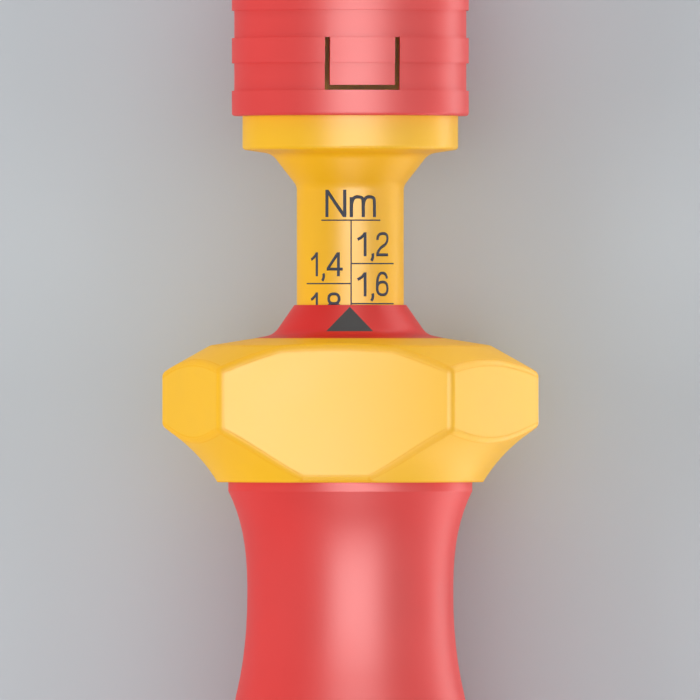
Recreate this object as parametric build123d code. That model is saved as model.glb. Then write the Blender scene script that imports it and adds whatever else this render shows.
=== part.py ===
from build123d import *
import os
from math import cos, pi, radians, sin, sqrt

# An insulated, adjustable torque screwdriver, lying on a table.
#
# The pieces are modelled upright: the tool's axis is Z, the chuck is up, station 0 is the
# front edge of the pointer cone, where the scale is read, and the scale faces -Y. At the
# end every piece is laid down, so that the axis runs along the row's +Y, the ring's two
# hollow faces and the belly of the grip rest on Z = 0, and the scale looks up.
#
# How it works: the grip turns on the thread of the scale barrel and moves 2 mm a turn, so
# that the barrel, the spindle and the clutch at the spindle's rear end come forward and
# squeeze the main spring against the nut. The grip drives the clutch ring by three keys,
# the balls in the ring drive the cam on the spindle, and they ride out of the cam's
# dimples when the set torque is reached. The spindle carries the hexagon holder for the
# blade, which two balls lock until the ribbed sleeve is drawn back.

# Clearances
SLIDE_GAP = 0.12  # between the ribbed sleeve and what it slides over
BARREL_GAP = 0.10  # round the barrel, in the cone and in the nut
SHAFT_GAP = 0.05  # round the spindle, in its bushes
FREE_GAP = 0.30  # between pieces that pass each other inside
STOP_GAP = 0.20  # between a moving piece and its stop

# How the tool is turned about its axis
ARROW_ROLL = 5.8  # the arrow and the scale, from the middle of the ring's hollow face
TONGUE_ROLL = 6.7  # the sleeve's tongue, from the arrow

# Setting thread and its travel from the reading of 1.6 Nm
THREAD_PITCH = 2.0  # 0.2 Nm a turn
TURNS_DOWN = 2  # to 1.2 Nm
TURNS_UP = 7  # to 3.0 Nm
TRAVEL_IN = TURNS_DOWN * THREAD_PITCH
TRAVEL_OUT = TURNS_UP * THREAD_PITCH

# Scale barrel: tube, flare, collar and threaded flange
TUBE_RADIUS = 5.35
TUBE_TOP = 11.9
FLARE_RADIUS = 7.84
FLARE_TOP = 15.1
COLLAR_RADIUS = 10.78
COLLAR_FOOT = 15.55
COLLAR_LENGTH = 3.75
COLLAR_EDGE = 0.35
FLARE_BEND = 1.6
TUBE_BEND = 1.2
BARREL_BORE = 3.9
THREAD_LENGTH = 8.0

# Pointer cone on the front of the ring
CONE_TIP_RADIUS = 5.5
CONE_BEND_RADIUS = 7.65
CONE_BEND_STATION = -2.95
CONE_FOOT_RADIUS = 9.5
CONE_FOOT_STATION = -3.32
CONE_BEND = 1.8
HUB_LENGTH = 1.55
ARROW_WIDTH = 4.7
ARROW_HEIGHT = 2.45
ARROW_TIP = -0.18
INLAY_DEPTH = 0.4
SEAL_THICKNESS = 1.0

# Anti-roll ring: a turned blank, wider than the corners of the faces that trim it
RING_TRIM = 1.2  # the blank's rim, outside those corners
RING_RIM_TOP = -7.51
RING_RIM_BOTTOM = -11.48
RING_FOOT = -17.7
RING_FOOT_STEP = 0.2  # the foot's edge, outside the middle of a hollow face
RING_SHOULDER_RADIUS = 14.0
RING_SHOULDER_STATION = -4.03
RING_SCOOP = 15.7
SHOULDER_EDGE = 1.0
FACE_HALF_WIDTH = 11.7
FACE_DEPTH = 13.1
FACE_HOLLOW_RADIUS = 76.0
SIDE_CORNER = 19.02
CORNER_EDGE = 0.8
FACE_EDGE = 0.7

# Grip shell and end cap: radii, how far below the lip, and how the radius grows rearwards
CORE_RADIUS = 8.5  # the nut and the housing tube, and the bores that hold them
LIP_RADIUS = 12.2
LIP_HEIGHT = 0.9
LIP_SLOPE = -0.5
WAIST_RADIUS = 10.3
WAIST_DROP = 10.2
SWELL_RADIUS = 11.3
SWELL_DROP = 19.9
SWELL_SLOPE = 0.23
BELLY_DROP = 41.4
TAIL_RADIUS = 12.8
TAIL_DROP = 71.0
TAIL_SLOPE = -0.04
HEEL_RADIUS = 11.0
HEEL_DROP = 87.5
HEEL_SLOPE = -0.3
CAP_HEIGHT = 5.8
CAP_FLAT_RADIUS = 5.0
CAP_ARM = 3.0  # how fully the dome is rounded
CAP_PLUG_LENGTH = 6.0
CAP_GROOVE = 0.35

# Setting nut, housing tube and main spring
NUT_WALL = 1.5
NUT_END = 0.5  # from the threaded flange to the nut's end, at both limits
SEAT_THICKNESS = 0.8
HOUSING_WALL = 1.2
KEYWAY_DEPTH = 0.7
KEY_COUNT = 3
KEY_WIDTH = 3.0
KEY_GAP = 0.1
SPRING_WIRE = 1.7
SPRING_TURNS = 9
SPRING_LENGTH = 34.7
PLUG_THICKNESS = 3.0

# Spindle and its bushes
SPINDLE_RADIUS = 3.5
BUSH_WALL = 0.85
BUSH_LENGTH = 6.0
TAIL_SHAFT_RADIUS = 3.0
TAIL_FLAT = 2.5
TAIL_SHAFT_LENGTH = 10.2

# Clutch
DRIVER_HEIGHT = 5.0
CLUTCH_GAP = 0.8
CAM_HEIGHT = 4.6
CLUTCH_RIM = 1.9  # from the balls' circle to the housing's bore
CLUTCH_BALL = 1.2
CLUTCH_BALL_COUNT = 6
CAM_DIMPLE_COUNT = 12
CLUTCH_BALL_DROP = 0.2
CLUTCH_BALL_GAP = 0.05
CAM_WASHER_THICKNESS = 0.8
SPINDLE_NUT_HEIGHT = 3.3
SPINDLE_NUT_FLATS = 10.0

# Thrust bearing between the collar and the holder
THRUST_RADIUS = 7.4
THRUST_BORE = 3.75
THRUST_WASHER = 0.7
THRUST_BALL = 0.75
THRUST_BALL_COUNT = 14
THRUST_CIRCLE = 5.55
THRUST_LEDGE = 0.1  # the holder's foot, in front of the core's

# Ribbed release sleeve, and the locking ring in it
SLEEVE_LAP = 0.4  # the sleeve's foot, over the collar
SLEEVE_WALL = 0.95
RIB_HEIGHT = 2.51
VALLEY_HEIGHT = 2.76
RIB_COUNT = 5
RIB_STEP = 0.25
SLEEVE_EDGE = 0.3
SLEEVE_TRAVEL = 2.0
TONGUE_SLOT = 0.5
TONGUE_OUTER_WIDTH = 7.5
HOOK_HEIGHT = 0.8
HOOK_WIDTH = 4.4
HOOK_DEPTH = 0.6
POCKET_WALL = 0.6  # between the pocket's floor and the holder's flange
SLEEVE_RIM = 1.7  # from the locking ring to the sleeve's front edge
LOCKING_RING_LENGTH = 5.4
RELEASE_STEP = 2.4
RELEASE_RADIUS = 6.8

# Hexagon holder, insulating core, front ring and locking balls
HOLDER_RADIUS = 5.5
HOLDER_LIP = 0.6  # in front of the snap ring
HOLDER_FLANGE_RADIUS = 8.0
HOLDER_FLANGE = 2.0
SPINDLE_PLUG = 4.0
HEX_FLATS = 6.4
HEX_DEPTH = 16.2
GUIDE_RADIUS = 4.2
GUIDE_LENGTH = 3.0
GUIDE_CHAMFER = 0.3
JOINT_LINE = 0.2  # between the collar and the core, under the sleeve
LOCK_BALL = 1.5
LOCK_BALL_REACH = 0.05
LOCK_BALL_DEPTH = 1.4  # the balls, in front of the locking ring's rear face
NOSE_HEIGHT = 1.8
NOSE_RADIUS = 10.7
NOSE_EDGE = 0.4
SNAP_THICKNESS = 0.6
SNAP_OUTER = 6.4
SNAP_GROOVE = 5.0
SNAP_GAP = 2.0
RETURN_WIRE = 0.8
RETURN_TURNS = 3
RETURN_RADIUS = 7.2
RETURN_LENGTH = 5.1

# Stations and radii that follow from the sizes above: behind the scale
NUT_TOP = CONE_FOOT_STATION - HUB_LENGTH
THREAD_TOP = NUT_TOP - NUT_END - TRAVEL_OUT
THREAD_FOOT = THREAD_TOP - THREAD_LENGTH
NUT_FOOT = THREAD_FOOT - TRAVEL_IN - NUT_END
LIP_FOOT = RING_FOOT - LIP_HEIGHT
HEEL_STATION = LIP_FOOT - HEEL_DROP
CAP_FOOT = HEEL_STATION - CAP_HEIGHT
HOUSING_BORE = CORE_RADIUS - HOUSING_WALL
THREAD_RADIUS = CORE_RADIUS - NUT_WALL - BARREL_GAP
CLUTCH_CIRCLE = HOUSING_BORE - CLUTCH_RIM
RING_RADIUS = SIDE_CORNER + RING_TRIM
RING_FOOT_RADIUS = FACE_DEPTH + RING_FOOT_STEP
HOUSING_FOOT = HEEL_STATION + CAP_PLUG_LENGTH
SEAT_FOOT = NUT_FOOT - SEAT_THICKNESS
DRIVER_TOP = SEAT_FOOT - SPRING_LENGTH
DRIVER_FOOT = DRIVER_TOP - DRIVER_HEIGHT
CAM_TOP = DRIVER_FOOT - CLUTCH_GAP
CAM_FOOT = CAM_TOP - CAM_HEIGHT
CAM_WASHER_FOOT = CAM_FOOT - CAM_WASHER_THICKNESS

# Stations and radii that follow: in front of the scale
COLLAR_TOP = COLLAR_FOOT + COLLAR_LENGTH
CORE_FOOT = COLLAR_TOP + JOINT_LINE
THRUST_HEIGHT = 2 * (THRUST_WASHER + THRUST_BALL + SHAFT_GAP)
HOLDER_FOOT = CORE_FOOT + THRUST_LEDGE
THRUST_FOOT = HOLDER_FOOT - THRUST_HEIGHT
SLEEVE_BORE = COLLAR_RADIUS + SLIDE_GAP
RIB_RADIUS = SLEEVE_BORE + SLEEVE_WALL
VALLEY_RADIUS = RIB_RADIUS - RIB_STEP
SLEEVE_FOOT = COLLAR_TOP - SLEEVE_LAP
SLEEVE_TOP = SLEEVE_FOOT + RIB_COUNT * RIB_HEIGHT + (RIB_COUNT - 1) * VALLEY_HEIGHT
SLOT_FOOT = SLEEVE_FOOT + RIB_HEIGHT
HOOK_FOOT = SLOT_FOOT + TONGUE_SLOT + STOP_GAP
LOCKING_RING_TOP = SLEEVE_TOP - SLEEVE_RIM
LOCKING_RING_FOOT = LOCKING_RING_TOP - LOCKING_RING_LENGTH
CORE_TOP = LOCKING_RING_FOOT - RETURN_LENGTH
LOCK_STATION = LOCKING_RING_FOOT + LOCK_BALL_DEPTH
NOSE_FOOT = LOCKING_RING_TOP + STOP_GAP
NOSE_TOP = NOSE_FOOT + NOSE_HEIGHT
HOLDER_TOP = NOSE_TOP + SNAP_THICKNESS + HOLDER_LIP
GUIDE_FLOOR = HOLDER_TOP - GUIDE_LENGTH
HEX_FLOOR = GUIDE_FLOOR - HEX_DEPTH


def turned(outline):
    """The solid swept by a closed outline of (radius, station) edges round the tool's axis."""
    return revolve(Plane.XZ * make_face(outline), Axis.Z)


def tube(outer, bore, foot, top):
    """A plain ring or tube between two stations."""
    ring = Pos(0, 0, foot) * extrude(Circle(outer) - Circle(bore), top - foot)
    return ring


def rod(radius, foot, top):
    """A plain round bar between two stations."""
    return Pos(0, 0, foot) * extrude(Circle(radius), top - foot)


def balls(radius, count, circle, station):
    """Loose balls spaced evenly on a circle."""
    ring = PolarLocations(circle, count)
    return Compound([Pos(0, 0, station) * spot * Sphere(radius) for spot in ring])


def coil(mean_radius, wire, turns, foot, top):
    """A compression spring with ground ends: a helix cut flat at both seats."""
    rise = (top - foot - wire) / turns
    path = Helix(rise, (turns + 1) * rise, mean_radius, center=(0, 0, foot + wire / 2 - rise / 2))
    start = Plane(path @ 0, z_dir=path % 0)
    wound = sweep(start * Circle(wire / 2), path, is_frenet=True)
    return wound & tube(mean_radius + wire, mean_radius - wire, foot, top)


def faced_section():
    """Across the ring: two wide hollow faces, and four plain ones that meet at the sides."""
    half, corner = FACE_HALF_WIDTH, FACE_DEPTH
    corner += FACE_HOLLOW_RADIUS - sqrt(FACE_HOLLOW_RADIUS**2 - half**2)
    front = ThreePointArc((-half, -corner), (0, -FACE_DEPTH), (half, -corner))
    right = Polyline((half, -corner), (SIDE_CORNER, 0), (half, corner))
    back = ThreePointArc((half, corner), (0, FACE_DEPTH), (-half, corner))
    left = Polyline((-half, corner), (-SIDE_CORNER, 0), (-half, -corner))
    return make_face(front + right + back + left)


def rest_height():
    """How far the axis lies above the table: to the rounded corners of a hollow face."""
    section = faced_section()
    return fillet(section.vertices(), CORNER_EDGE).bounding_box().max.Y


BELLY_RADIUS = rest_height()


def nearest(face, radius, station):
    """The corner of an outline that lies nearest to a place."""
    return face.vertices().sort_by(lambda v: abs(v.X - radius) + abs(v.Y - station))[0]


def ring_blank():
    """The ring before its faces are cut: turned, with a shoulder in front and a scoop behind."""
    front = Polyline(
        (0, CONE_FOOT_STATION),
        (CONE_FOOT_RADIUS, CONE_FOOT_STATION),
        (RING_SHOULDER_RADIUS, RING_SHOULDER_STATION),
        (RING_RADIUS, RING_RIM_TOP),
        (RING_RADIUS, RING_RIM_BOTTOM),
    )
    scoop = RadiusArc((RING_RADIUS, RING_RIM_BOTTOM), (RING_FOOT_RADIUS, RING_FOOT), -RING_SCOOP)
    foot = Polyline((RING_FOOT_RADIUS, RING_FOOT), (0, RING_FOOT), (0, CONE_FOOT_STATION))
    face = make_face(front + scoop + foot)
    shoulder = nearest(face, RING_SHOULDER_RADIUS, RING_SHOULDER_STATION)
    return revolve(Plane.XZ * fillet(shoulder, SHOULDER_EDGE), Axis.Z)


def upright(edge):
    """Whether an edge runs along the tool's axis."""
    return edge.geom_type == GeomType.LINE and abs((edge % 0.5).Z) > 0.99


def anti_roll_ring():
    """Yellow ring: six faces cut on a turned blank, every outer edge rounded, and its bore."""
    height = CONE_FOOT_STATION - RING_FOOT
    prism = Pos(0, 0, RING_FOOT - 1) * extrude(faced_section(), height + 2)
    body = ring_blank() & prism
    body = fillet(body.edges().filter_by(upright), CORNER_EDGE)
    faces = body.faces().filter_by(lambda f: abs(f.normal_at().Z) < 0.1)
    rims = faces.filter_by(lambda f: f.center().Z > RING_FOOT + 1).edges()
    body = fillet(rims.filter_by(lambda e: not upright(e)), FACE_EDGE)
    return body - rod(CORE_RADIUS, RING_FOOT, CONE_FOOT_STATION)


def cone_blank():
    """The pointer cone before its bore: a bell that runs out on the ring, and a hub."""
    bell = Polyline(
        (0, 0),
        (CONE_TIP_RADIUS + BARREL_GAP, 0),
        (CONE_BEND_RADIUS, CONE_BEND_STATION),
        (CONE_FOOT_RADIUS, CONE_FOOT_STATION),
        (CORE_RADIUS, CONE_FOOT_STATION),
        (CORE_RADIUS, NUT_TOP),
        (0, NUT_TOP),
        (0, 0),
    )
    bend = nearest(make_face(bell), CONE_BEND_RADIUS, CONE_BEND_STATION)
    return revolve(Plane.XZ * fillet(bend, CONE_BEND), Axis.Z)


def index_mark():
    """The dark arrow: a thin inlay that lies flush in the cone's surface."""
    half = ARROW_WIDTH / 2
    arrow = Polyline(
        (0, ARROW_TIP), (-half, ARROW_TIP - ARROW_HEIGHT), (half, ARROW_TIP - ARROW_HEIGHT), close=True
    )
    reach = CONE_FOOT_RADIUS + 1
    prism = extrude(Plane.XZ * make_face(arrow), reach)
    skin = cone_blank() - Pos(0, INLAY_DEPTH, 0) * cone_blank()
    return Rot(Z=ARROW_ROLL) * (prism & skin)


def seal_station():
    """Middle of the seal's groove, inside the cone's hub."""
    return NUT_TOP + SEAL_THICKNESS


def index_cone():
    """Red pointer cone with the arrow's recess, the barrel's bore and the seal's groove."""
    half = SEAL_THICKNESS / 2
    bore = rod(TUBE_RADIUS + BARREL_GAP, NUT_TOP, 0)
    groove = tube(
        TUBE_RADIUS + BARREL_GAP + SEAL_THICKNESS,
        TUBE_RADIUS,
        seal_station() - half,
        seal_station() + half,
    )
    return cone_blank() - bore - groove - index_mark()


def wiper_seal():
    """Rubber ring in the cone's hub that keeps dust out of the thread."""
    half = SEAL_THICKNESS / 2
    ring = Torus(TUBE_RADIUS + BARREL_GAP + half, half)
    return Pos(0, 0, seal_station()) * ring


def setting_nut():
    """Brass nut, as long as the thread's travel, that carries the ring and the cone."""
    return tube(CORE_RADIUS, THREAD_RADIUS + BARREL_GAP, NUT_FOOT, NUT_TOP)


def flowing(start, start_slope, end, end_slope):
    """A smooth stretch of outline between two (radius, drop) points with their slopes."""
    (near, above), (far, below) = start, end
    third = (below - above) / 3
    near_arm = (near + start_slope * third, LIP_FOOT - above - third)
    far_arm = (far - end_slope * third, LIP_FOOT - below + third)
    return Bezier((near, LIP_FOOT - above), near_arm, far_arm, (far, LIP_FOOT - below))


def grip_outline():
    """The grip's outside from the lip to the heel: waist, swell, belly and tail."""
    lip = (LIP_RADIUS, 0)
    waist = (WAIST_RADIUS, WAIST_DROP)
    swell = (SWELL_RADIUS, SWELL_DROP)
    belly = (BELLY_RADIUS, BELLY_DROP)
    tail = (TAIL_RADIUS, TAIL_DROP)
    heel = (HEEL_RADIUS, HEEL_DROP)
    return (
        flowing(lip, LIP_SLOPE, waist, 0)
        + flowing(waist, 0, swell, SWELL_SLOPE)
        + flowing(swell, SWELL_SLOPE, belly, 0)
        + flowing(belly, 0, tail, TAIL_SLOPE)
        + flowing(tail, TAIL_SLOPE, heel, HEEL_SLOPE)
    )


def grip_shell():
    """Red grip: a moulded shell over the housing tube, open at both ends."""
    lip = Polyline((CORE_RADIUS, RING_FOOT), (LIP_RADIUS, RING_FOOT), (LIP_RADIUS, LIP_FOOT))
    inside = Polyline(
        (HEEL_RADIUS, HEEL_STATION), (CORE_RADIUS, HEEL_STATION), (CORE_RADIUS, RING_FOOT)
    )
    return turned(lip + grip_outline() + inside)


def end_cap():
    """Red cap that closes the grip: a domed button with a flat end, and a plug."""
    groove_radius = HEEL_RADIUS - CAP_GROOVE
    groove_foot = HEEL_STATION - CAP_GROOVE
    plug_top = HEEL_STATION + CAP_PLUG_LENGTH
    side = Polyline(
        (0, plug_top),
        (CORE_RADIUS, plug_top),
        (CORE_RADIUS, HEEL_STATION),
        (groove_radius, HEEL_STATION),
        (groove_radius, groove_foot),
    )
    dome = Bezier(
        (groove_radius, groove_foot),
        (groove_radius + HEEL_SLOPE * CAP_ARM, groove_foot - CAP_ARM),
        (CAP_FLAT_RADIUS + CAP_ARM, CAP_FOOT),
        (CAP_FLAT_RADIUS, CAP_FOOT),
    )
    end = Polyline((CAP_FLAT_RADIUS, CAP_FOOT), (0, CAP_FOOT), (0, plug_top))
    return turned(side + dome + end)


def housing_tube():
    """Steel tube in the grip, with keyways for the clutch ring that run out at its rear."""
    shell = tube(CORE_RADIUS, HOUSING_BORE, HOUSING_FOOT, NUT_FOOT)
    keyway_top = DRIVER_TOP + TRAVEL_OUT + FREE_GAP
    reach = HOUSING_BORE + KEYWAY_DEPTH
    sector = tube(reach, HOUSING_BORE - 1, HOUSING_FOOT, keyway_top)
    slot = Pos(reach / 2, 0, (HOUSING_FOOT + keyway_top) / 2) * Box(
        reach, KEY_WIDTH + 2 * KEY_GAP, keyway_top - HOUSING_FOOT
    )
    for turn in range(KEY_COUNT):
        shell -= Rot(Z=turn * 360 / KEY_COUNT) * (slot & sector)
    return shell


def tube_plug():
    """Steel disc that closes the rear of the housing tube, in front of the cap's plug."""
    return rod(HOUSING_BORE, HOUSING_FOOT, HOUSING_FOOT + PLUG_THICKNESS)


def spring_seat():
    """Washer between the nut and the main spring."""
    return tube(HOUSING_BORE - FREE_GAP / 2, SPINDLE_RADIUS + FREE_GAP, SEAT_FOOT, NUT_FOOT)


def main_spring():
    """The spring that sets the torque, between the washer and the clutch ring."""
    mean = HOUSING_BORE - FREE_GAP - SPRING_WIRE / 2
    return coil(mean, SPRING_WIRE, SPRING_TURNS, DRIVER_TOP, SEAT_FOOT)


def clutch_ball_station():
    """The level of the clutch balls' centres, a little under the ring's rear face."""
    return DRIVER_FOOT - CLUTCH_BALL_DROP


def clutch_driver():
    """Keyed clutch ring: slides in the housing's keyways and carries the balls."""
    ring = tube(HOUSING_BORE - KEY_GAP, SPINDLE_RADIUS + FREE_GAP, DRIVER_FOOT, DRIVER_TOP)
    reach = HOUSING_BORE + KEYWAY_DEPTH - KEY_GAP
    sector = tube(reach, HOUSING_BORE - 1, DRIVER_FOOT, DRIVER_TOP)
    key = Pos(reach / 2, 0, (DRIVER_FOOT + DRIVER_TOP) / 2) * Box(reach, KEY_WIDTH, DRIVER_HEIGHT)
    for turn in range(KEY_COUNT):
        ring += Rot(Z=turn * 360 / KEY_COUNT) * (key & sector)
    return ring - balls(CLUTCH_BALL, CLUTCH_BALL_COUNT, CLUTCH_CIRCLE, clutch_ball_station())


def clutch_balls():
    """Six balls that sit in the clutch ring and reach into the cam's dimples."""
    return balls(CLUTCH_BALL, CLUTCH_BALL_COUNT, CLUTCH_CIRCLE, clutch_ball_station())


def tail_bore(foot, top):
    """The double flat on the spindle's tail, as a bar: the cam and its washer fit it."""
    flats = Rectangle(2 * TAIL_SHAFT_RADIUS, 2 * TAIL_FLAT)
    return Pos(0, 0, foot) * extrude(Circle(TAIL_SHAFT_RADIUS) & flats, top - foot)


def clutch_cam():
    """Driven cam on the spindle's tail, with a dimple at every twelfth of a turn."""
    disc = rod(HOUSING_BORE - FREE_GAP, CAM_FOOT, CAM_TOP)
    dimples = balls(
        CLUTCH_BALL + CLUTCH_BALL_GAP, CAM_DIMPLE_COUNT, CLUTCH_CIRCLE, clutch_ball_station()
    )
    return disc - dimples - tail_bore(CAM_FOOT, CAM_TOP)


def cam_washer():
    """Washer with the same double flat, so that the nut doesn't turn with the cam."""
    disc = rod(SPINDLE_NUT_FLATS / 2, CAM_WASHER_FOOT, CAM_FOOT)
    return disc - tail_bore(CAM_WASHER_FOOT, CAM_FOOT)


def spindle_nut():
    """Hexagon nut that holds the cam and carries the main spring's push."""
    foot = CAM_WASHER_FOOT - SPINDLE_NUT_HEIGHT
    hexagon = RegularPolygon(SPINDLE_NUT_FLATS / 2, 6, major_radius=False)
    nut = Pos(0, 0, foot) * extrude(hexagon, SPINDLE_NUT_HEIGHT)
    return nut - tail_bore(foot, CAM_WASHER_FOOT)


def spindle():
    """Steel shaft from the clutch to the holder, with a flatted tail."""
    shaft = rod(SPINDLE_RADIUS, CAM_TOP, HOLDER_FOOT + SPINDLE_PLUG)
    return shaft + tail_bore(CAM_TOP - TAIL_SHAFT_LENGTH, CAM_TOP)


def scale_barrel():
    """Yellow barrel: scale tube, flare and collar in front, threaded flange behind."""
    outside = Polyline(
        (0, THREAD_FOOT),
        (THREAD_RADIUS, THREAD_FOOT),
        (THREAD_RADIUS, THREAD_TOP),
        (TUBE_RADIUS, THREAD_TOP),
        (TUBE_RADIUS, TUBE_TOP),
        (FLARE_RADIUS, FLARE_TOP),
        (COLLAR_RADIUS, COLLAR_FOOT),
        (COLLAR_RADIUS, COLLAR_TOP),
        (0, COLLAR_TOP),
        close=True,
    )
    face = make_face(outside)
    for radius, station, bend in (
        (TUBE_RADIUS, TUBE_TOP, TUBE_BEND),
        (FLARE_RADIUS, FLARE_TOP, FLARE_BEND),
        (COLLAR_RADIUS, COLLAR_FOOT, COLLAR_EDGE),
    ):
        face = fillet(nearest(face, radius, station), bend)
    body = revolve(Plane.XZ * face, Axis.Z)
    body -= rod(BARREL_BORE, THREAD_FOOT, COLLAR_TOP)
    body -= rod(bush_radius(), THREAD_FOOT, THREAD_FOOT + BUSH_LENGTH)
    body -= rod(bush_radius(), THRUST_FOOT - BUSH_LENGTH, THRUST_FOOT)
    return body - rod(THRUST_RADIUS + STOP_GAP, THRUST_FOOT, COLLAR_TOP)


def bush_radius():
    """Outside of both bushes, and their seats in the barrel."""
    return SPINDLE_RADIUS + SHAFT_GAP + BUSH_WALL


def bush(foot):
    """Bronze bush that the spindle turns in."""
    return tube(bush_radius(), SPINDLE_RADIUS + SHAFT_GAP, foot, foot + BUSH_LENGTH)


def thrust_washer(foot):
    """Hardened washer of the thrust bearing."""
    return tube(THRUST_RADIUS, THRUST_BORE, foot, foot + THRUST_WASHER)


def thrust_balls():
    """Balls that let the holder turn on the collar under the main spring's push."""
    station = (THRUST_FOOT + HOLDER_FOOT) / 2
    return balls(THRUST_BALL, THRUST_BALL_COUNT, THRUST_CIRCLE, station)


def lock_ball_centre():
    """Distance of the locking balls' centres from the axis, when they hold a blade."""
    return HOLDER_RADIUS + LOCK_BALL_REACH - LOCK_BALL


def bit_holder():
    """Steel holder: flange, hexagon socket for the blade, round guide at its mouth."""
    body = rod(HOLDER_RADIUS, HOLDER_FOOT, HOLDER_TOP)
    body += rod(HOLDER_FLANGE_RADIUS, HOLDER_FOOT, HOLDER_FOOT + HOLDER_FLANGE)
    body = chamfer(body.edges().filter_by(GeomType.CIRCLE).sort_by(Axis.Z)[-1], GUIDE_CHAMFER)
    body -= rod(SPINDLE_RADIUS, HOLDER_FOOT, HOLDER_FOOT + SPINDLE_PLUG)
    hexagon = RegularPolygon(HEX_FLATS / 2, 6, major_radius=False)
    body -= Pos(0, 0, HEX_FLOOR) * extrude(hexagon, HOLDER_TOP - HEX_FLOOR)
    body -= rod(GUIDE_RADIUS, GUIDE_FLOOR, HOLDER_TOP)
    for side in (0, 180):
        hole = Rot(Z=side) * Pos(0, 0, LOCK_STATION) * Rot(Y=90) * Cylinder(
            LOCK_BALL + CLUTCH_BALL_GAP, HOLDER_RADIUS + 1, align=(Align.CENTER, Align.CENTER, Align.MIN)
        )
        body -= hole
    return body - tube(HOLDER_RADIUS + 1, SNAP_GROOVE, NOSE_TOP, NOSE_TOP + SNAP_THICKNESS)


def lock_balls():
    """Two balls that hold the blade in the socket."""
    return balls(LOCK_BALL, 2, lock_ball_centre(), LOCK_STATION)


def chuck_core():
    """Yellow insulating core round the holder, with a pocket for the sleeve's tongue."""
    core = tube(COLLAR_RADIUS, HOLDER_RADIUS, CORE_FOOT, CORE_TOP)
    core -= rod(HOLDER_FLANGE_RADIUS, CORE_FOOT, HOLDER_FOOT + HOLDER_FLANGE)
    foot = HOOK_FOOT - SLEEVE_TRAVEL - STOP_GAP
    top = SLOT_FOOT + RIB_HEIGHT + VALLEY_HEIGHT + STOP_GAP
    floor = HOLDER_FLANGE_RADIUS + POCKET_WALL
    reach = COLLAR_RADIUS - floor + 1
    width = TONGUE_OUTER_WIDTH + 2 * STOP_GAP
    pocket = Pos(0, -floor - reach / 2, (foot + top) / 2) * Box(width, reach, top - foot)
    return core - Rot(Z=ARROW_ROLL + TONGUE_ROLL) * pocket


def release_sleeve():
    """Red ribbed sleeve: steps outside, a plain bore, and a springy tongue with a hook."""
    points = [(SLEEVE_BORE, SLEEVE_FOOT)]
    station = SLEEVE_FOOT
    for rib in range(RIB_COUNT):
        points += [(RIB_RADIUS, station), (RIB_RADIUS, station + RIB_HEIGHT)]
        station += RIB_HEIGHT
        if rib < RIB_COUNT - 1:
            points += [(VALLEY_RADIUS, station), (VALLEY_RADIUS, station + VALLEY_HEIGHT)]
            station += VALLEY_HEIGHT
    points.append((SLEEVE_BORE, station))
    face = make_face(Polyline(*points, close=True))
    for station in (SLEEVE_FOOT, SLEEVE_TOP):
        face = fillet(nearest(face, RIB_RADIUS, station), SLEEVE_EDGE)
    sleeve = revolve(Plane.XZ * face, Axis.Z)
    height = RIB_HEIGHT + VALLEY_HEIGHT
    middle = SLOT_FOOT + height / 2
    outer = Box(TONGUE_OUTER_WIDTH, RIB_RADIUS, height)
    inner = Pos(0, 0, TONGUE_SLOT / 2) * Box(
        TONGUE_OUTER_WIDTH - 2 * TONGUE_SLOT, RIB_RADIUS, height - TONGUE_SLOT
    )
    slot = Pos(0, -RIB_RADIUS, middle) * (outer - inner)
    hook_bar = Pos(0, -RIB_RADIUS, HOOK_FOOT + HOOK_HEIGHT / 2) * Box(
        HOOK_WIDTH, RIB_RADIUS, HOOK_HEIGHT
    )
    hook = hook_bar & tube(
        VALLEY_RADIUS, SLEEVE_BORE - HOOK_DEPTH, HOOK_FOOT, HOOK_FOOT + HOOK_HEIGHT
    )
    return Rot(Z=ARROW_ROLL + TONGUE_ROLL) * (sleeve - slot + hook)


def locking_ring():
    """Steel ring in the sleeve: its land holds the balls in, its step lets them out."""
    ring = tube(
        SLEEVE_BORE, HOLDER_RADIUS + LOCK_BALL_REACH + BARREL_GAP, LOCKING_RING_FOOT, LOCKING_RING_TOP
    )
    return ring - rod(RELEASE_RADIUS, LOCKING_RING_TOP - RELEASE_STEP, LOCKING_RING_TOP)


def return_spring():
    """Spring that pushes the sleeve forward, between the core and the locking ring."""
    return coil(RETURN_RADIUS, RETURN_WIRE, RETURN_TURNS, CORE_TOP, LOCKING_RING_FOOT)


def nose_ring():
    """Yellow front ring that the sleeve slides over, with its front edge rounded."""
    ring = tube(NOSE_RADIUS, HOLDER_RADIUS, NOSE_FOOT, NOSE_TOP)
    rim = ring.edges().filter_by(GeomType.CIRCLE).filter_by(lambda e: e.radius > HOLDER_RADIUS)
    return fillet(rim.sort_by(Axis.Z)[-1], NOSE_EDGE)


def snap_ring():
    """Wire ring in the holder's groove that keeps the front ring on."""
    ring = tube(SNAP_OUTER, SNAP_GROOVE, NOSE_TOP, NOSE_TOP + SNAP_THICKNESS)
    gap = Box(SNAP_GAP, SNAP_OUTER, 4 * SNAP_THICKNESS)
    return ring - Pos(0, SNAP_OUTER, NOSE_TOP) * gap


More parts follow.
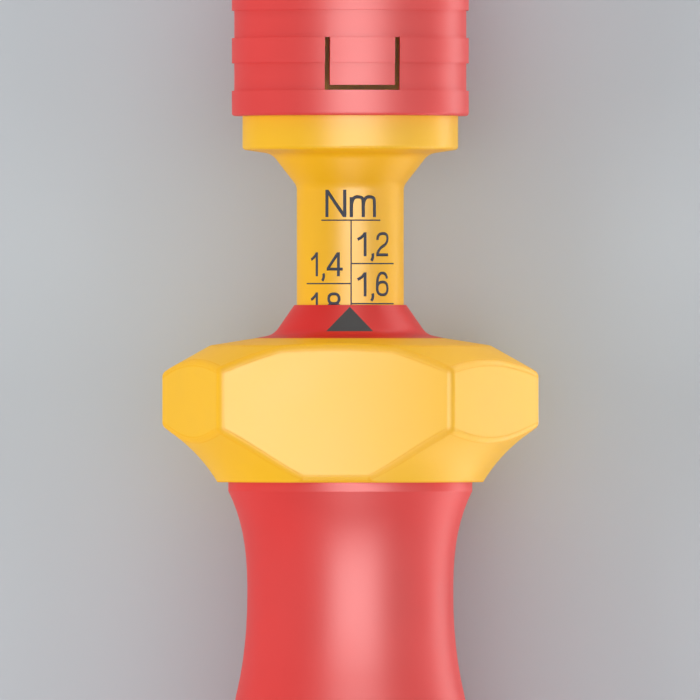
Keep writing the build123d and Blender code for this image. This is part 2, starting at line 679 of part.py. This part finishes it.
PIECES = {
    "grip_shell": grip_shell(),
    "end_cap": end_cap(),
    "anti_roll_ring": anti_roll_ring(),
    "index_cone": index_cone(),
    "index_mark": index_mark(),
    "wiper_seal": wiper_seal(),
    "setting_nut": setting_nut(),
    "housing_tube": housing_tube(),
    "tube_plug": tube_plug(),
    "spring_seat": spring_seat(),
    "main_spring": main_spring(),
    "clutch_driver": clutch_driver(),
    "clutch_balls": clutch_balls(),
    "scale_barrel": scale_barrel(),
    "front_bush": bush(THRUST_FOOT - BUSH_LENGTH),
    "rear_bush": bush(THREAD_FOOT),
    "thrust_washer_rear": thrust_washer(THRUST_FOOT),
    "thrust_balls": thrust_balls(),
    "thrust_washer_front": thrust_washer(HOLDER_FOOT - THRUST_WASHER),
    "spindle": spindle(),
    "clutch_cam": clutch_cam(),
    "cam_washer": cam_washer(),
    "spindle_nut": spindle_nut(),
    "bit_holder": bit_holder(),
    "lock_balls": lock_balls(),
    "chuck_core": chuck_core(),
    "nose_ring": nose_ring(),
    "snap_ring": snap_ring(),
    "return_spring": return_spring(),
    "release_sleeve": release_sleeve(),
    "locking_ring": locking_ring(),
}

# Lays the tool down: its axis along +Y, the middle of its length over the origin
MIDDLE_STATION = (HOLDER_TOP + CAP_FOOT) / 2
LAY_DOWN = Pos(0, -MIDDLE_STATION, BELLY_RADIUS) * Rot(X=-90)

os.makedirs("parts", exist_ok=True)
for name, piece in PIECES.items():
    export_step(LAY_DOWN * piece, f"parts/{name}.step")
print("length", HOLDER_TOP - CAP_FOOT, "axis height", BELLY_RADIUS, "middle station", MIDDLE_STATION)
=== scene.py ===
# %% [markdown]
# # An adjustable torque screwdriver, dressed for its picture
# The tool lies on a pale table and is seen from above. Its measured solids come from the
# imported model, which is loaded first and never moved. This notebook sets up the camera and
# the light, gives every solid the finish of the real material, with painted shade on the
# cone and the core, winds the two springs, and prints the scale on the barrel.

# %% Load the measured model
import bpy
import bmesh
from math import cos, pi, radians, sin
from mathutils import Matrix, Vector


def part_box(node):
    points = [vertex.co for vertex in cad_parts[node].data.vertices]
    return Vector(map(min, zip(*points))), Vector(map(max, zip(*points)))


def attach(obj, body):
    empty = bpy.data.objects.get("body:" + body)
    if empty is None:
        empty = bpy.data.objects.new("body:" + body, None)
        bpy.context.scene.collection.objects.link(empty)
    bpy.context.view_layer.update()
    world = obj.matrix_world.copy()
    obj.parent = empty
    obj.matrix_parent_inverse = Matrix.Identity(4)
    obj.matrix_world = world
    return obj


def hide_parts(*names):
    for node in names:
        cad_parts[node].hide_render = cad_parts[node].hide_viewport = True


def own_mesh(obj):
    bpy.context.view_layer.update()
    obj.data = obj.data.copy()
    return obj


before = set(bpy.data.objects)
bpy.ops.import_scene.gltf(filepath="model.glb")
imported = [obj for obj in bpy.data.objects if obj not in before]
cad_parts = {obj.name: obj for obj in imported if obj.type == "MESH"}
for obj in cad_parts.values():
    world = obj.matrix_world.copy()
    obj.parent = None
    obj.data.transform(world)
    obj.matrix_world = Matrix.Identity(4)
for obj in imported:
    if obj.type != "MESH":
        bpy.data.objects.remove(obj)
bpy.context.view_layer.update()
MM = 0.001

# %% [markdown]
# ## Where the tool lies
# Places could be typed in as plain coordinates, but they would go wrong with the first
# change to the solids. So they are read from the solids' boxes. The barrel is round, and
# the middle of its box is the tool's axis. The front edge of the pointer cone is where the
# scale is read. Distances along the tool are counted from it, towards the chuck.

# %% The axis and the reading edge
barrel_low, barrel_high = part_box("scale_barrel")
axis_x = (barrel_low.x + barrel_high.x) / 2
axis_z = (barrel_low.z + barrel_high.z) / 2
reading_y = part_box("index_cone")[1].y
print("axis at", round(axis_z / MM, 3), "mm, reading edge at", round(reading_y / MM, 3), "mm")


def station(mm):
    """The y of a place on the tool, in metres, from its distance to the reading edge."""
    return reading_y + mm * MM


# %% [markdown]
# ## Camera
# The photograph is a catalogue picture with almost no perspective. An orthographic camera
# has none at all and would do too, but a very long lens from far away is what a
# photographer takes, and it keeps the little that there is. The arrow and the scale face
# the lens, and they stand a little turned from the side that the tool rests on, so the
# camera leans by that angle.

# %% Camera
LENS = 1400
SENSOR = 36
PICTURE_WIDTH = 70 * MM
LEAN = radians(6.3)
MIDDLE_ACROSS, MIDDLE_ALONG = -0.03, -4.5

camera_data = bpy.data.cameras.new("long_lens")
camera_data.lens = LENS
camera_data.sensor_width = SENSOR
camera_data.clip_start = 0.01
camera_data.clip_end = 20
camera = bpy.data.objects.new("camera", camera_data)
bpy.context.scene.collection.objects.link(camera)
bpy.context.scene.camera = camera
away = PICTURE_WIDTH * LENS / SENSOR
target = Vector((axis_x + MIDDLE_ACROSS * MM, station(MIDDLE_ALONG), axis_z))
camera.location = target + away * Vector((sin(LEAN), 0, cos(LEAN)))
camera.rotation_euler = (0, LEAN, 0)
print("camera stands", round(away, 3), "m away")

# %% [markdown]
# ## Table and room
# A plain pale table in a bright room. The table is one large face at the height on which
# the tool rests. The room is a world of one colour, a little cooler than white, as daylight
# from a window is. It lights every side a little, so that no shadow goes black.

# %% Table
TABLE_COLOUR = (0.50, 0.542, 0.57)
TABLE_ROUGHNESS = 0.9
TABLE_REACH = 8

table_top = bpy.data.materials.new("table_top")
table_top.use_nodes = True
table_shader = table_top.node_tree.nodes["Principled BSDF"]
table_shader.inputs["Base Color"].default_value = (*TABLE_COLOUR, 1)
table_shader.inputs["Roughness"].default_value = TABLE_ROUGHNESS

table_mesh = bpy.data.meshes.new("table")
top = bmesh.new()
bmesh.ops.create_grid(top, x_segments=1, y_segments=1, size=TABLE_REACH)
top.to_mesh(table_mesh)
top.free()
table_mesh.materials.append(table_top)
table = bpy.data.objects.new("table", table_mesh)
bpy.context.scene.collection.objects.link(table)
print("the table reaches", TABLE_REACH, "m to each side")

# %% Room light
ROOM_COLOUR = (0.94, 0.97, 1)
ROOM_STRENGTH = 0.45

world = bpy.data.worlds.new("room")
world.use_nodes = True
room = world.node_tree.nodes["Background"]
room.inputs["Color"].default_value = (*ROOM_COLOUR, 1)
room.inputs["Strength"].default_value = ROOM_STRENGTH
bpy.context.scene.world = world
bpy.context.scene.view_settings.view_transform = "Standard"
print("room light of strength", ROOM_STRENGTH)

# %% [markdown]
# ## Lamps
# The photograph shows colours that stay nearly the same from side to side, a soft white
# band along the middle, and a thin bright rim along the right edge. One big softbox could
# give the band, but a lamp that is bright enough for it also bleaches the colour under it.
# Blender lets a lamp light only the colour of things, or show only in their gloss. So there
# are two kinds: wide ones all round for an even colour, and smaller ones for the gloss.
# Each stands at two angles and a distance from the tool, and is turned to face it.

# %% Helpers: a softbox, and a place over the tool
COLOUR, GLOSS = "colour", "gloss"


def softbox(name, place, facing, width, length, brightness, lights):
    """A flat lamp without a visible body; brightness 1 is as bright as a lit white card."""
    lamp = bpy.data.lights.new(name, "AREA")
    lamp.shape = "RECTANGLE"
    lamp.size = width
    lamp.size_y = length
    lamp.energy = brightness * pi * width * length
    holder = bpy.data.objects.new(name, lamp)
    bpy.context.scene.collection.objects.link(holder)
    holder.location = place
    holder.rotation_euler = (-facing).to_track_quat("Z", "Y").to_euler()
    holder.visible_camera = False
    holder.visible_glossy = lights == GLOSS
    holder.visible_diffuse = lights == COLOUR


def above(angle, pitch, distance):
    """A place over the tool: angle leans to the right, pitch leans towards the chuck."""
    turn, tip = radians(angle), radians(pitch)
    return target + distance * Vector((sin(turn) * cos(tip), sin(tip), cos(turn) * cos(tip)))


# %% The lamps that face the tool
# Each row says what the lamp lights, its angle, pitch and distance, its width and length in
# metres, and its brightness.
LAMPS = {
    "colour_above": (COLOUR, 8, 0, 1.0, 0.8, 0.8, 0.05),
    "colour_left": (COLOUR, -75, 0, 1.0, 0.5, 1.2, 4.4),
    "colour_right": (COLOUR, 80, 0, 1.0, 0.4, 1.2, 4.2),
    "colour_chuck": (COLOUR, 0, 70, 1.0, 1.0, 0.8, 1.5),
    "colour_grip": (COLOUR, 0, -70, 1.0, 1.0, 0.8, 1.7),
    "gloss_band": (GLOSS, 12, 0, 0.8, 0.56, 0.8, 14.5),
    "gloss_chuck": (GLOSS, 10, 62, 1.0, 0.4, 0.4, 6),
    "gloss_grip": (GLOSS, 10, -62, 1.0, 0.4, 0.4, 10),
}
for name, (lights, angle, pitch, distance, width, length, brightness) in LAMPS.items():
    place = above(angle, pitch, distance)
    softbox(name, place, target - place, width, length, brightness, lights)
print(len(LAMPS), "lamps face the tool")

# %% The card for the rim
# A bright card lies on the table to the right of the tool and shines upwards. Only the side
# that turns down towards it shows it in its gloss.
CARD_ASIDE, CARD_HEIGHT = 47, 0.6
CARD_WIDTH, CARD_LENGTH = 0.04, 0.6
CARD_BRIGHTNESS = 4.7

card = Vector((target.x + CARD_ASIDE * MM, target.y, CARD_HEIGHT * MM))
softbox("gloss_card", card, Vector((0, 0, 1)), CARD_WIDTH, CARD_LENGTH, CARD_BRIGHTNESS, GLOSS)
print("the card lies", CARD_ASIDE, "mm to the right")

# %% [markdown]
# ## Moulded plastic
# Nearly all that shows of this tool is moulded: a rubbery red grip, a hard red sleeve and
# cone, and hard yellow pieces. Such a surface is never one flat colour. The mould leaves a
# fine grain, which breaks up the highlight, and colour and gloss drift a little over the
# piece. A picture of plastic could be wrapped round it, but that shows seams. Noise on the
# object's own coordinates has none, and as these are metres, its grain has a true size.

# %% A helper for moulded plastics
CLOUD_SCALE, CLOUD_DETAIL = 90, 3
CLOUD_LOW, CLOUD_HIGH = 0.3, 0.7
GRAIN_DETAIL = 2
GLOSS_DRIFT = 0.05


def moulded(name, colour, drift, grain_size, grain_depth, rough, gloss):
    """A moulded plastic: drifting colour, a fine grain as bump, and a patchy gloss."""
    plastic = bpy.data.materials.new(name)
    plastic.use_nodes = True
    nodes, links = plastic.node_tree.nodes, plastic.node_tree.links
    shader = nodes["Principled BSDF"]
    shader.inputs["Specular IOR Level"].default_value = gloss
    place = nodes.new("ShaderNodeTexCoord")

    cloud = nodes.new("ShaderNodeTexNoise")
    cloud.inputs["Scale"].default_value = CLOUD_SCALE
    cloud.inputs["Detail"].default_value = CLOUD_DETAIL
    links.new(place.outputs["Object"], cloud.inputs["Vector"])
    tint = nodes.new("ShaderNodeValToRGB")
    low, high = tint.color_ramp.elements
    low.position, high.position = CLOUD_LOW, CLOUD_HIGH
    low.color = (*[c * (1 - drift) for c in colour], 1)
    high.color = (*[min(1, c * (1 + drift)) for c in colour], 1)
    links.new(cloud.outputs["Fac"], tint.inputs["Fac"])
    links.new(tint.outputs["Color"], shader.inputs["Base Color"])

    grain = nodes.new("ShaderNodeTexNoise")
    grain.inputs["Scale"].default_value = 1 / (grain_size * MM)
    grain.inputs["Detail"].default_value = GRAIN_DETAIL
    links.new(place.outputs["Object"], grain.inputs["Vector"])
    bump = nodes.new("ShaderNodeBump")
    bump.inputs["Distance"].default_value = grain_depth * MM
    bump.inputs["Strength"].default_value = 1
    links.new(grain.outputs["Fac"], bump.inputs["Height"])
    links.new(bump.outputs["Normal"], shader.inputs["Normal"])

    patch = nodes.new("ShaderNodeMapRange")
    patch.inputs["To Min"].default_value = rough - GLOSS_DRIFT
    patch.inputs["To Max"].default_value = rough + GLOSS_DRIFT
    links.new(cloud.outputs["Fac"], patch.inputs["Value"])
    links.new(patch.outputs["Result"], shader.inputs["Roughness"])
    return plastic


# %% The plastics
# After the colour come its drift, the grain's size and depth in millimetres, the roughness
# and the gloss. The grip's rubber has the coarsest grain, and the arrow hardly shines.
YELLOW = (0.89, 0.47, 0.001)

grip_red = moulded("grip_red", (0.67, 0.032, 0.028), 0.05, 0.30, 0.006, 0.46, 0.38)
trim_red = moulded("trim_red", (0.67, 0.034, 0.030), 0.04, 0.22, 0.004, 0.46, 0.38)
# The cone's deeper red is painted shade, for the shade between the ring and the barrel.
cone_red_painted_shade = moulded("cone_red_painted_shade", (0.62, 0.014, 0.010), 0.04, 0.22, 0.004, 0.42, 0.34)
ring_yellow = moulded("ring_yellow", YELLOW, 0.03, 0.25, 0.003, 0.44, 0.33)
barrel_yellow = moulded("barrel_yellow", YELLOW, 0.03, 0.20, 0.003, 0.44, 0.33)
# The core's deeper yellow is painted shade, for the shade in the narrow slot round the tongue.
core_yellow_painted_shade = moulded("core_yellow_painted_shade", (0.74, 0.36, 0.001), 0.03, 0.20, 0.003, 0.5, 0.15)
arrow_grey = moulded("arrow_grey", (0.054, 0.055, 0.056), 0.06, 0.15, 0.004, 0.6, 0.16)
seal_black = moulded("seal_black", (0.03, 0.03, 0.032), 0.1, 0.2, 0.006, 0.6, 0.4)
print("each plastic has", len(seal_black.node_tree.nodes), "nodes")

# %% [markdown]
# ## Painted shade along the ring's edges
# Every face of the anti-roll ring is framed by a deeper line, where the flat turns into a
# rounding and the gloss skips. Here that line is painted shade. Grooves in the mesh could
# draw such lines, but the real ring has none. Cycles has a Bevel node that averages the
# normals near a point. Where the average leans away from the surface's own normal, a flat
# is just starting to turn, and that is where the line belongs. There the colour is deeper,
# which paints the shade, and the surface rougher, so that it shines less.

# %% A helper that finds where a surface starts to turn
LINE_WIDTH = 0.36
LINE_SAMPLES = 8
STILL_FLAT, TURNED = 0.9998, 0.998


def edge_share(nodes, links):
    """An output that is 1 along the foot of every rounded edge, and 0 elsewhere."""
    near = nodes.new("ShaderNodeBevel")
    near.samples = LINE_SAMPLES
    near.inputs["Radius"].default_value = LINE_WIDTH * MM
    own = nodes.new("ShaderNodeNewGeometry")
    lean = nodes.new("ShaderNodeVectorMath")
    lean.operation = "DOT_PRODUCT"
    links.new(near.outputs["Normal"], lean.inputs[0])
    links.new(own.outputs["Normal"], lean.inputs[1])
    share = nodes.new("ShaderNodeMapRange")
    share.inputs["From Min"].default_value = STILL_FLAT
    share.inputs["From Max"].default_value = TURNED
    links.new(lean.outputs["Value"], share.inputs["Value"])
    return share.outputs["Result"]


# %% Paint shade lines on the ring's yellow
# The deeper colour of the edge lines is painted shade.
EDGE_SHADE_COLOUR = (0.85, 0.39, 0.0)
LINE_ROUGHNESS = 0.95


def mix_along(nodes, links, share, socket, value):
    """Mixes a second value into what feeds a socket, by as much as the share says."""
    mix = nodes.new("ShaderNodeMix")
    mix.data_type = "RGBA" if socket.type == "RGBA" else "FLOAT"
    factor, first, second = [s for s in mix.inputs if s.enabled]
    result = next(s for s in mix.outputs if s.enabled)
    second.default_value = value
    links.new(share, factor)
    links.new(socket.links[0].from_socket, first)
    links.new(result, socket)


ring_nodes, ring_links = ring_yellow.node_tree.nodes, ring_yellow.node_tree.links
ring_inputs = ring_nodes["Principled BSDF"].inputs
edges = edge_share(ring_nodes, ring_links)
# This mix paints shade into the ring's colour along its edges.
mix_along(ring_nodes, ring_links, edges, ring_inputs["Base Color"], (*EDGE_SHADE_COLOUR, 1))
mix_along(ring_nodes, ring_links, edges, ring_inputs["Roughness"], LINE_ROUGHNESS)
print("the ring's yellow now has", len(ring_nodes), "nodes")

# %% [markdown]
# ## Metals
# Hardly any metal shows, only the steel in the chuck's mouth, and the rest lies inside.
# Turned steel and brass carry fine rings round the axis. A stretched gloss would hint at
# them, but a wave along the axis also gives each ring its own tint and roughness, and it
# looks the same from every side.

# %% A helper for turned metals
RING_WAVER = 1.5
GROOVE_SHADE = 0.86
SMOOTHER, ROUGHER = 0.06, 0.08


def turned_metal(name, colour, rough, ring_size):
    """A metal with fine turning marks round the tool's axis."""
    metal = bpy.data.materials.new(name)
    metal.use_nodes = True
    nodes, links = metal.node_tree.nodes, metal.node_tree.links
    shader = nodes["Principled BSDF"]
    shader.inputs["Metallic"].default_value = 1
    place = nodes.new("ShaderNodeTexCoord")
    rings = nodes.new("ShaderNodeTexWave")
    rings.bands_direction = "Y"
    rings.inputs["Scale"].default_value = 1 / (ring_size * MM)
    rings.inputs["Distortion"].default_value = RING_WAVER
    links.new(place.outputs["Object"], rings.inputs["Vector"])
    tint = nodes.new("ShaderNodeValToRGB")
    low, high = tint.color_ramp.elements
    low.color = (*[c * GROOVE_SHADE for c in colour], 1)
    high.color = (*colour, 1)
    links.new(rings.outputs["Fac"], tint.inputs["Fac"])
    links.new(tint.outputs["Color"], shader.inputs["Base Color"])
    shine = nodes.new("ShaderNodeMapRange")
    shine.inputs["To Min"].default_value = rough - SMOOTHER
    shine.inputs["To Max"].default_value = rough + ROUGHER
    links.new(rings.outputs["Fac"], shine.inputs["Value"])
    links.new(shine.outputs["Result"], shader.inputs["Roughness"])
    return metal


steel = turned_metal("steel", (0.50, 0.51, 0.52), 0.36, 0.6)
spring_steel = turned_metal("spring_steel", (0.42, 0.43, 0.45), 0.38, 0.4)
brass = turned_metal("brass", (0.78, 0.60, 0.28), 0.34, 0.6)
print("each metal has", len(brass.node_tree.nodes), "nodes")

# %% [markdown]
# ## A finish for every solid
# Each solid comes with a slot that names its finish, and the plain stand-in in that slot is
# swapped for the material made above. Two pieces differ from the others of their slot, and
# both differ by painted shade. The pointer cone is of the sleeve's plastic, but a deeper red
# paints the shade that it sits in, between the ring and the barrel. The insulating core is
# made of the barrel's plastic, but it shows only in the slot round the sleeve's tongue, and
# a deeper yellow paints the shade in that narrow slot.

# %% Give every solid its finish
FINISHES = {
    "red_grip": grip_red,
    "red_trim": trim_red,
    "yellow_ring": ring_yellow,
    "yellow_barrel": barrel_yellow,
    "dark_mark": arrow_grey,
    "seal_rubber": seal_black,
    "nut_brass": brass,
    "spring_steel": spring_steel,
    "steel": steel,
}
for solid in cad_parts.values():
    for slot in solid.material_slots:
        slot.material = FINISHES[slot.material.name.split(".")[0]]
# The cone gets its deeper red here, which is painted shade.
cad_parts["index_cone"].material_slots[0].material = cone_red_painted_shade
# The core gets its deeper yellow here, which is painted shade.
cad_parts["chuck_core"].material_slots[0].material = core_yellow_painted_shade
print("finishes given to", len(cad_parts), "pieces")

# %% [markdown]
# ## Wound springs
# Two coil springs lie inside. The main spring sets the torque, and a small one pushes the
# sleeve back to the front. Their solids can't shorten when the setting or the sleeve moves.
# Each is hidden, and a wound piece takes its place here, which moves with its body. A helix
# could be a curve of many worked-out points. It is simpler to spin a circle the size of the
# wire round the axis, and to let it rise a little at every step.

# %% Wind the two springs
COIL_STEPS = 24
WIRE_SIDES = 12


def wound_spring(node, wire, turns, body):
    """A coil in place of a spring's solid, which moves with its body."""
    low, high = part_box(node)
    mean = (high.x - low.x) / 2 - wire / 2
    rise = high.y - low.y - wire
    coil = bmesh.new()
    start = Matrix.Translation((axis_x + mean, low.y + wire / 2, axis_z))
    bmesh.ops.create_circle(coil, segments=WIRE_SIDES, radius=wire / 2, matrix=start)
    bmesh.ops.spin(
        coil,
        geom=coil.verts[:] + coil.edges[:],
        cent=(axis_x, 0, axis_z),
        axis=(0, 1, 0),
        dvec=(0, rise / (turns * COIL_STEPS), 0),
        angle=2 * pi * turns,
        steps=turns * COIL_STEPS,
    )
    bmesh.ops.holes_fill(coil, edges=coil.edges, sides=0)
    bmesh.ops.recalc_face_normals(coil, faces=coil.faces)
    mesh = bpy.data.meshes.new(node + "_wound")
    coil.to_mesh(mesh)
    coil.free()
    mesh.shade_smooth()
    mesh.materials.append(spring_steel)
    piece = bpy.data.objects.new(node + "_wound", mesh)
    bpy.context.scene.collection.objects.link(piece)
    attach(piece, body)
    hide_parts(node)
    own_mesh(piece)


wound_spring(
    "main_spring", wire=1.7 * MM, turns=9,
    body="handle",
)
wound_spring(
    "return_spring", wire=0.8 * MM, turns=3,
    body="spindle",
)

# %% [markdown]
# ## The printed scale
# The barrel carries a printed scale: the unit, a long line down the middle, and numbers
# that stand right and left of it in turn. One turn of the grip moves the barrel by 2 mm and
# sets 0.2 Nm more, so the lines are 2 mm apart. The printing runs on under the cone, up to
# the top value, and comes out as the barrel does.
#
# The letters are thin and plain. A font would bring its own shapes, so each sign is drawn
# here as the path of a pen: straight strokes, and smooth ones that a NURBS spline rounds.
# A sign is one unit high. Its width comes first, then each stroke with its points.

# %% The signs, as strokes of a pen
RUNS, BENDS, LOOPS = "runs", "bends", "loops"
SIGNS = {
    "0": (0.64, [(LOOPS, [(0.06, 0.94), (0.58, 0.94), (0.58, 0.06), (0.06, 0.06)])]),
    "1": (
        0.42,
        [
            (RUNS, [(0.36, 0), (0.36, 1)]),
            (BENDS, [(0.35, 0.96), (0.26, 0.80), (0.04, 0.70)]),
        ],
    ),
    "2": (
        0.66,
        [
            (BENDS, [
                (0.08, 0.68), (0.06, 0.94), (0.60, 0.96),
                (0.60, 0.54), (0.10, 0.30), (0.07, 0.05),
            ]),
            (RUNS, [(0.02, 0.06), (0.63, 0.06)]),
        ],
    ),
    "3": (
        0.64,
        [
            (BENDS, [(0.07, 0.74), (0.08, 0.94), (0.54, 0.96), (0.54, 0.54), (0.24, 0.53)]),
            (BENDS, [(0.24, 0.53), (0.58, 0.54), (0.58, 0.06), (0.06, 0.04), (0.05, 0.30)]),
        ],
    ),
    "4": (
        0.72,
        [
            (RUNS, [(0.52, 0), (0.52, 1)]),
            (RUNS, [(0.50, 0.96), (0.05, 0.31)]),
            (RUNS, [(0, 0.30), (0.70, 0.30)]),
        ],
    ),
    "6": (
        0.66,
        [
            (LOOPS, [(0.06, 0.60), (0.60, 0.60), (0.60, 0.06), (0.06, 0.06)]),
            (BENDS, [(0.06, 0.33), (0.04, 0.94), (0.52, 1.00), (0.57, 0.74)]),
        ],
    ),
    "8": (
        0.64,
        [
            (LOOPS, [(0.09, 0.94), (0.55, 0.94), (0.55, 0.53), (0.09, 0.53)]),
            (LOOPS, [(0.05, 0.53), (0.59, 0.53), (0.59, 0.06), (0.05, 0.06)]),
        ],
    ),
    ",": (0.15, [(BENDS, [(0.08, 0.12), (0.13, -0.04), (0.02, -0.19)])]),
    "N": (
        0.80,
        [
            (RUNS, [(0.06, 0), (0.06, 1)]),
            (RUNS, [(0.74, 0), (0.74, 1)]),
            (RUNS, [(0.07, 0.97), (0.73, 0.03)]),
        ],
    ),
    "m": (
        1.0,
        [
            (RUNS, [(0.06, 0), (0.06, 0.73)]),
            (BENDS, [(0.06, 0.42), (0.08, 0.74), (0.48, 0.74), (0.50, 0.50), (0.50, 0)]),
            (BENDS, [(0.50, 0.42), (0.52, 0.74), (0.92, 0.74), (0.94, 0.50), (0.94, 0)]),
        ],
    ),
}
print(len(SIGNS), "signs drawn")

# %% [markdown]
# ## From strokes to printing
# The strokes are laid out flat first, in millimetres: across the scale and along the tool.
# A curve with a small bevel gives each path its width and turns it into a mesh, which is
# pressed almost flat. The scale could be painted in the barrel's material instead, but thin
# raised ink keeps crisp edges from near by.

# %% Helpers: a stroke and a sign on a flat sheet
INK_HEIGHT = 0.012
BEND_STEPS = 5


def pen_stroke(sheet, kind, points, width):
    """Adds one stroke to the flat sheet, as a mesh made from a bevelled curve."""
    curve = bpy.data.curves.new("stroke", "CURVE")
    curve.dimensions = "3D"
    curve.bevel_depth = width / 2
    curve.bevel_resolution = 0
    curve.resolution_u = BEND_STEPS
    curve.use_fill_caps = True
    spline = curve.splines.new("POLY" if kind == RUNS else "NURBS")
    spline.points.add(len(points) - 1)
    for point, (x, y) in zip(spline.points, points):
        point.co = (x, y, 0, 1)
    if kind != RUNS:
        spline.order_u = 3
        spline.use_cyclic_u = kind == LOOPS
        spline.use_endpoint_u = kind == BENDS
    holder = bpy.data.objects.new("stroke", curve)
    flat = bpy.data.meshes.new_from_object(holder)
    for vertex in flat.vertices:
        vertex.co.z *= INK_HEIGHT / (width / 2)
    sheet.from_mesh(flat)
    bpy.data.objects.remove(holder)
    bpy.data.meshes.remove(flat)


def sign(sheet, mark, left, foot, height, width):
    """Draws one sign with its lower left corner at a place, and returns its width."""
    wide, strokes = SIGNS[mark]
    for kind, points in strokes:
        placed = [(left + x * height, foot + y * height) for x, y in points]
        pen_stroke(sheet, kind, placed, width)
    return wide * height


# %% Where the scale's parts stand, in millimetres
# Across the scale 0 is its middle line, and along the tool 0 is the reading edge. Each side
# has the left edge of its numbers and the far end of its lines.
FIRST_LINE, LINE_STEP = 4.13, 2.0
VALUES = ["1,2", "1,4", "1,6", "1,8", "2,0", "2,2", "2,4", "2,6", "2,8", "3,0"]
RIGHT_SIDE, LEFT_SIDE = (0.56, 4.96), (-4.55, -5.16)
DIGIT_HEIGHT, DIGIT_STROKE = 2.39, 0.29
DIGIT_LIFT = 0.73
WIDE_DIGIT_SHIFT = -0.30
COMMA_SHIFT, LAST_SHIFT = 1.47, 0.56
UNIT_LEFT, UNIT_FOOT = -2.66, 8.77
UNIT_HEIGHT, UNIT_STROKE, UNIT_GAP = 2.73, 0.33, 0.34
UNIT_LINE, UNIT_LINE_LEFT, UNIT_LINE_RIGHT = 8.46, -3.12, 3.09
FINE_LINE = 0.13

last_line = FIRST_LINE - (len(VALUES) - 1) * LINE_STEP
print("the scale runs from", UNIT_LINE, "mm to", round(last_line, 2), "mm")

# %% Lay out the unit and the long line
numbers, lines = bmesh.new(), bmesh.new()
left = UNIT_LEFT
for mark in "Nm":
    left += sign(numbers, mark, left, UNIT_FOOT, UNIT_HEIGHT, UNIT_STROKE) + UNIT_GAP
pen_stroke(lines, RUNS, [(UNIT_LINE_LEFT, UNIT_LINE), (UNIT_LINE_RIGHT, UNIT_LINE)], FINE_LINE)
pen_stroke(lines, RUNS, [(0, UNIT_LINE), (0, last_line)], FINE_LINE)
print("the unit ends at", round(left - UNIT_GAP, 2), "mm")

# %% Lay out the numbers and their lines
for index, value in enumerate(VALUES):
    line = FIRST_LINE - index * LINE_STEP
    left, far = LEFT_SIDE if index % 2 else RIGHT_SIDE
    first = left if value[0] == "1" else left + WIDE_DIGIT_SHIFT
    comma = left + COMMA_SHIFT
    for mark, place in zip(value, (first, comma, comma + LAST_SHIFT)):
        sign(numbers, mark, place, line + DIGIT_LIFT, DIGIT_HEIGHT, DIGIT_STROKE)
    pen_stroke(lines, RUNS, [(0, line), (far, line)], FINE_LINE)
print(len(VALUES), "values, flat, with", len(numbers.faces) + len(lines.faces), "faces")

# %% [markdown]
# ## Round the barrel
# A long flat stroke has points only at its ends, so laid on a round barrel it would cut
# straight through. Upright cuts every 0.2 mm let it bend, and then each point goes round
# the barrel by its distance from the middle line. The printing stands 0.015 mm proud, like
# ink, and rides on the barrel.

# %% A helper that lays a sheet round the barrel
TUBE_RADIUS = 5.35 * MM
SCALE_ROLL = LEAN + radians(0.86)
CUT_STEP, CUTS_PER_SIDE = 0.2, 26
INK_GAP = 0.003


def printed(sheet, name, ink):
    """Cuts a flat sheet of strokes so that it can bend, and lays it round the barrel."""
    for cut in range(-CUTS_PER_SIDE, CUTS_PER_SIDE + 1):
        every = sheet.verts[:] + sheet.edges[:] + sheet.faces[:]
        place = (cut * CUT_STEP, 0, 0)
        bmesh.ops.bisect_plane(sheet, geom=every, plane_co=place, plane_no=(1, 0, 0))
    for vertex in sheet.verts:
        across, along, height = vertex.co
        turn = SCALE_ROLL + across * MM / TUBE_RADIUS
        reach = TUBE_RADIUS + INK_GAP * MM + height * MM
        vertex.co = (axis_x + reach * sin(turn), station(along), axis_z + reach * cos(turn))
    bmesh.ops.recalc_face_normals(sheet, faces=sheet.faces)
    mesh = bpy.data.meshes.new(name)
    sheet.to_mesh(mesh)
    sheet.free()
    mesh.materials.append(ink)
    piece = bpy.data.objects.new(name, mesh)
    bpy.context.scene.collection.objects.link(piece)
    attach(piece, "barrel")
    print(name, "has", len(mesh.polygons), "faces")


# %% Print the scale
slate_ink = moulded("slate_ink", (0.06, 0.07, 0.095), 0.08, 0.10, 0.002, 0.7, 0.1)
printed(numbers, "scale_numbers", slate_ink)
printed(lines, "scale_lines", slate_ink)
